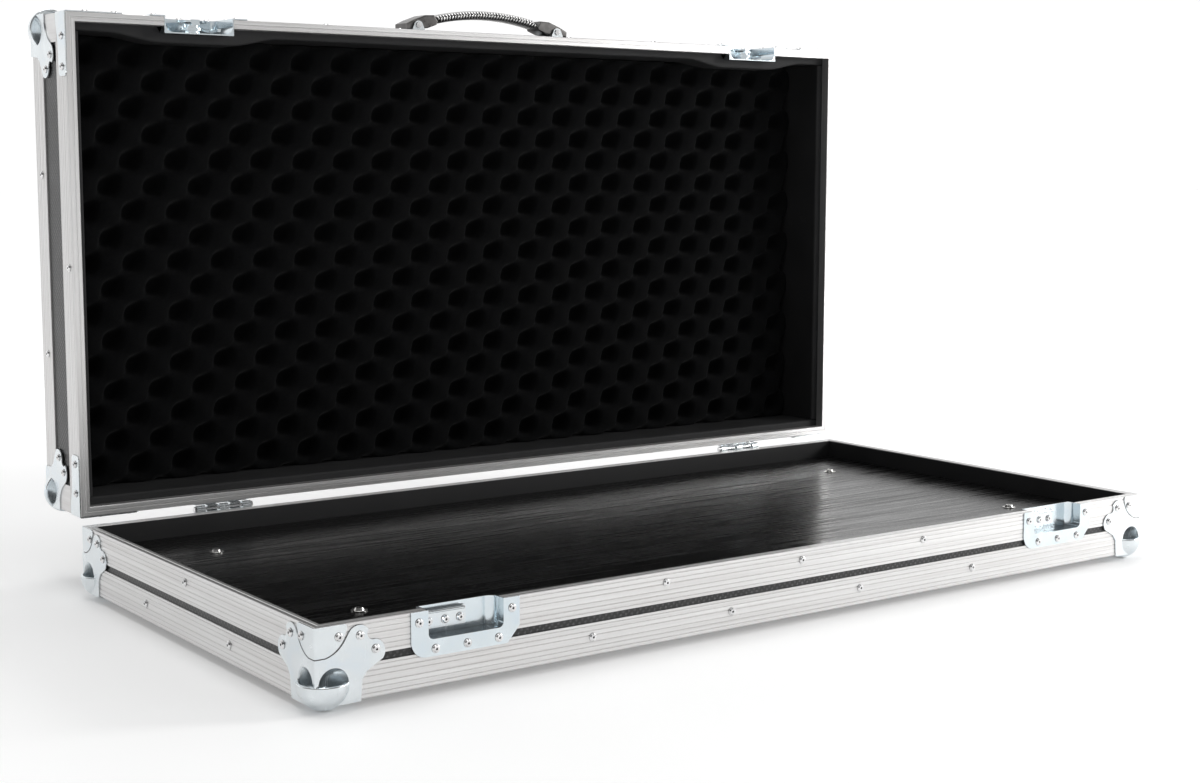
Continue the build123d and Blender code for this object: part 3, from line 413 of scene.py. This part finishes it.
def batten_mat(name):
    m, nt, b = new_mat(name)
    grain = noise_tex(nt, coords(nt, (160, 6, 160)), 1.0, 6.0, 0.65, 0.6)
    nt.links.new(ramp(nt, grain, [(0.3, (0.30, 0.20, 0.11)), (0.7, (0.50, 0.37, 0.22))]), b.inputs["Base Color"])
    nt.links.new(math_node(nt, "MULTIPLY_ADD", grain, 0.2, 0.6), b.inputs["Roughness"])
    bump(nt, b, grain, 0.3, 0.0006)
    return m


def rubber_mat(name):
    m, nt, b = new_mat(name)
    v = coords(nt)
    n1 = noise_tex(nt, v, 500.0, 4.0, 0.6)
    nt.links.new(ramp(nt, n1, [(0.3, 0.012), (0.7, 0.03)]), b.inputs["Base Color"])
    nt.links.new(math_node(nt, "MULTIPLY_ADD", n1, 0.2, 0.5), b.inputs["Roughness"])
    bump(nt, b, n1, 0.2, 0.0003)
    return m


RIM_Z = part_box("base_rim_front")[1].z
BASE_SKIN_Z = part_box("base_corner_angles")[0].z
LID_RIM_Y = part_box("lid_rim_front")[0].y
M_X = extrusion_mat("aluminium_tray_rim_long", 0, (2, RIM_Z, -1, 3.2))
M_Y = extrusion_mat("aluminium_tray_rim_short", 1, (2, RIM_Z, -1, 3.2))
M_BASE_ANG = extrusion_mat("aluminium_tray_edges", (0, 1), (2, BASE_SKIN_Z, 1, 4.0), (hw - 36) / 1000)
# the lid's rims and edges are set darker than the tray's: painted shade on copies of one aluminium
M_LX = extrusion_mat("aluminium_lid_rim_long", 0, (1, LID_RIM_Y, 1, 3.2), painted_shade_level=0.80)
M_LZ = extrusion_mat("aluminium_lid_rim_short", 2, (1, LID_RIM_Y, 1, 3.2), painted_shade_level=0.84)
M_LID_ANG = extrusion_mat("aluminium_lid_edges", (0, 2), (1, SKIN / 1000, -1, 4.0), (hw - 36) / 1000, painted_shade_level=0.88)
M_EDGE = extrusion_mat("aluminium_lid_corners", 1, (0, 10.0, 1, 3.2), painted_shade_level=0.88)
M_ZINC = zinc_mat("zinc_plate")
M_DISH = zinc_mat("zinc_dish", (0.69, 0.755, 0.79), 0.14)
M_RIVET = steel_mat("rivet_steel", (0.84, 0.84, 0.845), 0.15, shade_gap=0.0014)
M_SCREW = steel_mat("screw_steel", (0.82, 0.81, 0.79), 0.2, shade_gap=0.0012)
M_LAM = laminate_mat("laminate_tray", (0, BY / 1000, 0.045))
M_LAM_LID = laminate_mat("laminate_lid", (0, SKIN / 1000 - 0.045, LZ / 1000))
M_BOARD = board_mat("board_film")
M_FOAM = foam_mat("egg_crate_foam")
M_LINING = lining_mat("lining_foam")
M_BATTEN = batten_mat("sawn_wood")
M_DARK = steel_mat("dark_nickel", (0.150, 0.145, 0.142), 0.24, 1.0, 90.0)
M_CHROME = steel_mat("spring_chrome", (0.74, 0.735, 0.73), 0.14, 1.0, 120.0, shade_gap=0.0030)
M_CORE = rubber_mat("handle_core_rubber")

by_node = {
    M_X: ["base_rim_front", "base_rim_rear"],
    M_Y: ["base_rim_left", "base_rim_right"],
    M_LX: ["lid_rim_front", "lid_rim_rear"],
    M_LZ: ["lid_rim_left", "lid_rim_right"],
    M_EDGE: ["lid_edge_angles"],
    M_BASE_ANG: ["base_corner_angles"],
    M_LID_ANG: ["lid_corner_angles"],
    M_ZINC: ["base_ball_corners", "lid_ball_corners", "base_corner_braces", "lid_corner_braces", "base_hinge_leaves",
             "lid_hinge_leaves", "handle_base_plates", "latch_keepers"],
    M_DISH: ["base_latch_dish_left", "base_latch_dish_right", "lid_latch_dish_left", "lid_latch_dish_right",
             "latch_rotor_left", "latch_rotor_right", "latch_cam_left", "latch_cam_right", "latch_wing_left_a",
             "latch_wing_left_b", "latch_wing_right_a", "latch_wing_right_b"],
    M_RIVET: ["base_rivets", "lid_rivets", "base_hinge_rivets", "lid_hinge_rivets", "handle_rivets", "hinge_pins",
              "handle_pins"],
    M_SCREW: ["board_screws", "board_washers"],
    M_LAM: ["base_bottom_panel", "base_front_wall", "base_rear_wall", "base_left_wall", "base_right_wall"],
    M_LAM_LID: ["lid_back_panel", "lid_front_wall", "lid_rear_wall", "lid_left_wall", "lid_right_wall"],
    M_BOARD: ["pedal_board"],
    M_BATTEN: ["board_battens"],
    M_DARK: ["handle_end_caps"],
    M_CORE: ["handle_core"],
}
for mat, names in by_node.items():
    for n in names:
        ob = nodes[n]
        if not ob.material_slots:
            ob.data.materials.append(mat)
        for s in ob.material_slots:
            s.material = mat


# ---- mesh helpers -------------------------------------------------
def piece(name, verts, faces, mat, body, smooth=True):
    me = bpy.data.meshes.new(name)
    me.from_pydata([tuple(v) for v in verts], [], faces)
    me.validate()
    me.update()
    ob = bpy.data.objects.new(name, me)
    scene.collection.objects.link(ob)
    me.materials.append(mat)
    if smooth:
        me.polygons.foreach_set("use_smooth", [True] * len(me.polygons))
    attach(ob, body)
    return ob


def shade_by_angle(ob, degrees=32.0):
    """Smooth, with sharp edges where faces meet at more than this."""
    me = ob.data
    bm = bmesh.new()
    bm.from_mesh(me)
    bmesh.ops.recalc_face_normals(bm, faces=bm.faces)
    for f in bm.faces:
        f.smooth = True
    for e in bm.edges:
        e.smooth = not (len(e.link_faces) == 2 and e.calc_face_angle(0) > math.radians(degrees))
    bm.to_mesh(me)
    bm.free()


def closed_sheet(front, back, nu, nv):
    """Faces of a closed slab from two grids of nu x nv points; verts are front then back."""
    n = nu * nv
    f = []
    for i in range(nu - 1):
        for j in range(nv - 1):
            a, b, c, d = i * nv + j, (i + 1) * nv + j, (i + 1) * nv + j + 1, i * nv + j + 1
            f.append((a, b, c, d))
            f.append((n + a, n + d, n + c, n + b))
    for i in range(nu - 1):
        a, b = i * nv, (i + 1) * nv
        f.append((a, n + a, n + b, b))
        a, b = i * nv + nv - 1, (i + 1) * nv + nv - 1
        f.append((a, b, n + b, n + a))
    for j in range(nv - 1):
        a, b = j, j + 1
        f.append((a, b, n + b, n + a))
        a, b = (nu - 1) * nv + j, (nu - 1) * nv + j + 1
        f.append((a, n + a, n + b, b))
    return list(front) + list(back), f


# ---- egg-crate foam -------------------------------------------------
PITCH_X, PITCH_Y = 51.5, 55.5
flo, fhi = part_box("egg_crate_foam")
FX = (fhi.x - flo.x) * 500
FY0, FY1 = flo.z * 1000 - LZ, fhi.z * 1000 - LZ
FZ0, FT = SKIN - fhi.y * 1000, (fhi.y - flo.y) * 1000


def foam_height(x, y):
    wx = x + 1.6 * noise.noise(Vector((x * 0.013, y * 0.013, 3.1)))
    wy = y + 1.6 * noise.noise(Vector((x * 0.013, y * 0.013, 9.4)))
    # bumps on a diagonal grid, a little closer joined along one diagonal than along the other
    u, v = wx / PITCH_X + wy / PITCH_Y, wx / PITCH_X - wy / PITCH_Y
    c = 0.39 * math.cos(2 * math.pi * u) + 0.61 * math.cos(2 * math.pi * v)
    t = min(1.0, max(0.0, (c + 0.95) / 1.02))
    s = 0.68 * t * t * (3 - 2 * t) + 0.32 * (0.5 + 0.5 * c)
    h = 4.6 + (FT - 5.5) * s
    h += 0.5 * noise.noise(Vector((x * 0.05, y * 0.05, 1.0))) + 0.22 * noise.noise(Vector((x * 0.35, y * 0.35, 5.0)))
    return h


nu, nv = 372, 164
front, back = [], []
for i in range(nu):
    x = -FX + 0.4 + (2 * FX - 0.8) * i / (nu - 1)
    for j in range(nv):
        y = FY0 + 0.4 + (FY1 - FY0 - 0.8) * j / (nv - 1)
        edge = min(x + FX, FX - x, y - FY0, FY1 - y)
        h = foam_height(x, y)
        h -= 1.6 * max(0.0, 1 - edge / 3.0) ** 2
        front.append(lid_at(x, y, FZ0 + min(h, FT - 0.2)))
        back.append(lid_at(x, y, FZ0 + 0.05))
verts, faces = closed_sheet(front, back, nu, nv)
foam = piece("egg_crate_foam_mesh", verts, faces, M_FOAM, "lid")
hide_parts("egg_crate_foam")
shade_by_angle(foam, 50)


# ---- linings: soft strips round the lid's walls -------------------------------------------------
def lining(name, node, long_axis, inward, bulges=()):
    """A strip along the wall: rounded along its free edge, and pushed inwards where a latch dish stands behind it."""
    lo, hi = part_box(node)
    a0, a1 = (lo.x * 1000, hi.x * 1000) if long_axis == "x" else (lo.z * 1000 - LZ, hi.z * 1000 - LZ)
    z0, z1 = SKIN - hi.y * 1000, SKIN - lo.y * 1000
    if long_axis == "x":
        wall = (hi.z if inward < 0 else lo.z) * 1000 - LZ
    else:
        wall = (hi.x if inward < 0 else lo.x) * 1000
    T = 10.0
    n_a = 300 if long_axis == "x" else 130
    prof = []
    r = 2.6
    # from the wall at the skin end, along the free face, round the free edge, back to the wall
    prof.append((0.05, z0))
    for k in range(15):
        prof.append((T - 0.3, z0 + 1.0 + (z1 - r - z0 - 1.0) * k / 14))
    for k in range(1, 7):
        t = math.pi / 2 * k / 6
        prof.append((T - 0.3 - r + r * math.cos(t), z1 - r + r * math.sin(t)))
    for k in range(1, 4):
        prof.append(((T - 0.3 - r) * (1 - k / 3) + 0.05, z1))
    m = len(prof)
    vs = []
    for i in range(n_a):
        a = a0 + 0.1 + (a1 - a0 - 0.2) * i / (n_a - 1)
        push = 0.0
        for c in bulges:
            d = abs(a - c)
            if d < 100:
                s = max(0.0, min(1.0, (100 - d) / 62))
                push = max(push, 8.9 * s * s * (3 - 2 * s))
        for t, z in prof:
            k = 0.55 + 0.45 * min(1.0, max(0.0, (z - z0 - 26) / 20))
            off = t + (push * k if z > z0 + 22 else push * 0.0)
            if z > z0 + 22 and z < z0 + 34:
                off = t + push * k * (z - z0 - 22) / 12
            off += 0.35 * noise.noise(Vector((a * 0.02, z * 0.05, 2.0 + inward)))
            if t < 1.0:
                over = max([0.0] + [min(1.0, (43.0 - abs(a - c)) / 3.0) for c in bulges])
                off = t + max(0.0, over) * push * k * min(1.0, max(0.0, (z - z0 - 22) / 12))
            off = max(off, 0.05)
            w = wall + inward * off
            vs.append(lid_at(a, w, z) if long_axis == "x" else lid_at(w, a, z))
    fs = []
    for i in range(n_a - 1):
        for j in range(m - 1):
            p, q = i * m + j, (i + 1) * m + j
            fs.append((p, q, q + 1, p + 1))
        fs.append((i * m + m - 1, (i + 1) * m + m - 1, (i + 1) * m, i * m))
    fs.append(tuple(range(m)))
    fs.append(tuple(reversed(range((n_a - 1) * m, n_a * m))))
    ob = piece(name, vs, fs, M_LINING, "lid")
    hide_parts(node)
    shade_by_angle(ob, 50)
    return ob


LATCH_X = 385.0
lining("lining_front_mesh", "lid_lining_front", "x", -1, (-LATCH_X, LATCH_X))
lining("lining_rear_mesh", "lid_lining_rear", "x", 1)
lining("lining_left_mesh", "lid_lining_left", "z", 1)
lining("lining_right_mesh", "lid_lining_right", "z", -1)


# ---- the tray's lining: a thin felt strip inside the rim -------------------------------------------------
def tray_lining(name, a, b, inward, z0, z1, thick=1.1):
    """A strip from a to b (mm, in plan) standing on the board, its free top edge rounded; inward is the way it faces."""
    a, b, inward = Vector(a), Vector(b), Vector(inward)
    n = max(2, int((b - a).length / 6))
    prof = [(0.0, z0), (thick, z0)]
    for k in range(7):
        t = math.pi * k / 6
        prof.append((thick / 2 + thick / 2 * math.cos(t), z1 - thick / 2 + thick / 2 * math.sin(t)))
    m = len(prof)
    vs, fs = [], []
    for i in range(n):
        p = a + (b - a) * i / (n - 1)
        for k, (t, z) in enumerate(prof):
            wave = 0.12 * noise.noise(Vector((p.x * 0.03, p.y * 0.03, z * 0.1))) if t > 0.4 and z > z0 + 1 else 0.0
            q = p + inward * (t + wave)
            vs.append(Vector((q.x / 1000, q.y / 1000, z / 1000)))
    for i in range(n - 1):
        for j in range(m):
            k = (j + 1) % m
            fs.append((i * m + j, (i + 1) * m + j, (i + 1) * m + k, i * m + k))
    fs.append(tuple(range(m)))
    fs.append(tuple(reversed(range((n - 1) * m, n * m))))
    ob = piece(name, vs, fs, M_LINING, "base")
    shade_by_angle(ob, 50)
    return ob


blo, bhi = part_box("pedal_board")
TZ0, TZ1 = bhi.z * 1000 + 0.05, RIM_Z * 1000 - 0.9
IN = 10.04
x0, x1, y0, y1 = -hw + IN, hw - IN, BY - hd + IN, BY + hd - IN
tray_lining("tray_lining_rear", (x0, y1), (x1, y1), (0, -1), TZ0, TZ1)
tray_lining("tray_lining_left", (x0, y0 + 1.3), (x0, y1 - 1.3), (1, 0), TZ0, TZ1)
tray_lining("tray_lining_right", (x1, y0 + 1.3), (x1, y1 - 1.3), (-1, 0), TZ0, TZ1)
tray_lining("tray_lining_front_middle", (-385.0 + 41, y0), (385.0 - 41, y0), (0, 1), TZ0, TZ1)
tray_lining("tray_lining_front_left", (x0, y0), (-385.0 - 41, y0), (0, 1), TZ0, TZ1)
tray_lining("tray_lining_front_right", (385.0 + 41, y0), (x1, y0), (0, 1), TZ0, TZ1)


# ---- the handle's coil -------------------------------------------------
slo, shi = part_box("handle_spring")
HZ = SKIN - (slo.y + shi.y) * 500
half = (shi.x - slo.x) * 500
GRIP_X, GRIP_TOP, ARCH_END = 76.0, 24.0, 14.4
ARCH_R = (GRIP_X**2 + (GRIP_TOP - ARCH_END) ** 2) / (2 * (GRIP_TOP - ARCH_END))


def coil(name, reach, wide, thick, wire, pitch):
    turns = int(2 * reach / pitch)
    per = 26
    ang0 = math.asin(reach / ARCH_R)
    steps = turns * per
    line = []
    for i in range(steps + 1):
        f = i / steps
        a = -ang0 + 2 * ang0 * f
        th = 2 * math.pi * turns * f
        # flat oval round the core: a superellipse
        c, s = math.cos(th), math.sin(th)
        k = (abs(c) ** 2.6 + abs(s) ** 2.6) ** (-1 / 2.6)
        u, v = wide / 2 * c * k, thick / 2 * s * k
        x = (ARCH_R + v) * math.sin(a)
        n = GRIP_TOP - ARCH_R + (ARCH_R + v) * math.cos(a)
        line.append(Vector((x, n, u)))
    pts = [lid_at(p.x, hd + p.y, HZ + p.z) for p in line]
    ring = 8
    vs, fs = [], []
    centre = [lid_at(ARCH_R * math.sin(-ang0 + 2 * ang0 * i / steps), hd + GRIP_TOP - ARCH_R + ARCH_R * math.cos(-ang0 + 2 * ang0 * i / steps), HZ) for i in range(steps + 1)]
    for i, p in enumerate(pts):
        t = (pts[min(i + 1, steps)] - pts[max(i - 1, 0)]).normalized()
        out = p - centre[i]
        out = (out - t * out.dot(t)).normalized()
        side = t.cross(out)
        for k in range(ring):
            a = 2 * math.pi * k / ring
            vs.append(p + (out * math.cos(a) + side * math.sin(a)) * wire / 2000)
    for i in range(steps):
        for k in range(ring):
            a, b = i * ring + k, i * ring + (k + 1) % ring
            fs.append((a, b, b + ring, a + ring))
    fs.append(tuple(reversed(range(ring))))
    fs.append(tuple(range(steps * ring, steps * ring + ring)))
    ob = piece(name, vs, fs, M_CHROME, "handle")
    return ob


spring = coil("handle_spring_coil", half - 1.6, 24.5 - 2.9, 10.5 - 2.9, 2.8, 3.9)
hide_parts("handle_spring")


# ---- floor and light -------------------------------------------------
bpy.ops.mesh.primitive_plane_add(size=60, location=(0, 0, 0))
floor = bpy.context.object
floor.name = "floor"
fm, nt, b = new_mat("floor_paper")
n1 = noise_tex(nt, coords(nt), 2.0, 3.0, 0.5)
nt.links.new(ramp(nt, n1, [(0.3, 0.93), (0.7, 0.95)]), b.inputs["Base Color"])
b.inputs["Roughness"].default_value = 0.6
b.inputs["Specular IOR Level"].default_value = 0.25
# painted light: the paper glows a little near the case, which lightens its contact shadows, and more towards its far
# end so that it fades into the white background
tc = add_node(nt, "ShaderNodeTexCoord")
dist = add_node(nt, "ShaderNodeVectorMath", operation="LENGTH")
nt.links.new(tc.outputs["Object"], dist.inputs[0])
far = add_node(nt, "ShaderNodeMapRange", interpolation_type="SMOOTHSTEP")
nt.links.new(dist.outputs["Value"], far.inputs["Value"])
far.inputs["From Min"].default_value = 0.60
far.inputs["From Max"].default_value = 2.2
far.inputs["To Min"].default_value = 0.14
far.inputs["To Max"].default_value = 0.5
nt.links.new(far.outputs["Result"], b.inputs["Emission Strength"])
b.inputs["Emission Color"].default_value = (1, 1, 1, 1)
floor.data.materials.append(fm)

world = bpy.data.worlds.new("studio")
scene.world = world
world.use_nodes = True
wt = world.node_tree
bg = wt.nodes["Background"]
tc = add_node(wt, "ShaderNodeTexCoord")


def patch(direction, inner, outer):
    """1 towards a direction, falling to 0 between two half angles."""
    d = Vector(direction).normalized()
    dot = add_node(wt, "ShaderNodeVectorMath", operation="DOT_PRODUCT")
    wt.links.new(tc.outputs["Generated"], dot.inputs[0])
    dot.inputs[1].default_value = d
    mr = add_node(wt, "ShaderNodeMapRange", interpolation_type="SMOOTHSTEP")
    wt.links.new(dot.outputs["Value"], mr.inputs["Value"])
    mr.inputs["From Min"].default_value = math.cos(math.radians(outer))
    mr.inputs["From Max"].default_value = math.cos(math.radians(inner))
    return mr.outputs["Result"]


def step(value, low, high):
    mr = add_node(wt, "ShaderNodeMapRange", interpolation_type="SMOOTHSTEP")
    wt.links.new(value, mr.inputs["Value"])
    mr.inputs["From Min"].default_value = low
    mr.inputs["From Max"].default_value = high
    return mr.outputs["Result"]


# a white studio: brightest low down at the back, softer overhead and dim on the near side above the floor, so that the
# bright metal has something dark to show and the key light models the foam
sep = add_node(wt, "ShaderNodeSeparateXYZ")
wt.links.new(tc.outputs["Generated"], sep.inputs[0])
near = math_node(wt, "MULTIPLY_ADD", sep.outputs[0], -0.50, math_node(wt, "MULTIPLY", sep.outputs[1], -0.86))
overhead = step(sep.outputs[2], 0.32, 0.75)
strength = math_node(wt, "MULTIPLY_ADD", overhead, -0.40, 1.04)
band = math_node(wt, "MULTIPLY", step(sep.outputs[2], 0.04, 0.13), step(sep.outputs[2], 0.90, 0.66))
dark = math_node(wt, "MULTIPLY", band, step(near, -0.15, 0.25))
dark = math_node(wt, "MAXIMUM", dark, patch((0.35, -0.10, 1.0), 11, 18))
dark = math_node(wt, "MAXIMUM", dark, patch((-1.0, 0.35, 0.30), 10, 18))
strength = math_node(wt, "MULTIPLY", strength, math_node(wt, "MULTIPLY_ADD", dark, -0.90, 1.0))
wt.links.new(strength, bg.inputs["Strength"])
bg.inputs["Color"].default_value = (1, 1, 1, 1)


def area(name, loc, target, size, power, color=(1, 1, 1), size_y=None):
    d = bpy.data.lights.new(name, "AREA")
    d.shape = "RECTANGLE"
    d.size = size
    d.size_y = size_y or size
    d.energy = power
    d.color = color
    o = bpy.data.objects.new(name, d)
    scene.collection.objects.link(o)
    o.location = loc
    o.rotation_euler = (Vector(target) - Vector(loc)).to_track_quat("-Z", "Y").to_euler()
    return o


area("key_right", (2.6, -1.6, 1.25), (0.1, 0.2, 0.3), 0.8, 40.0, (1.0, 0.995, 0.985), 0.8)
area("low_right", (1.75, -1.05, 0.10), (0.1, 0.25, 0.36), 0.5, 2.5, (1, 1, 1), 0.16)
fill = area("front_fill", (1.1, -2.3, 0.40), (0.0, 0.25, 0.35), 1.6, 16.0, (1, 1, 1), 0.6)
fill.visible_glossy = False
area("top", (-0.3, 0.1, 2.6), (0.0, 0.0, 0.0), 2.0, 26.0, (1, 1, 1), 1.4)
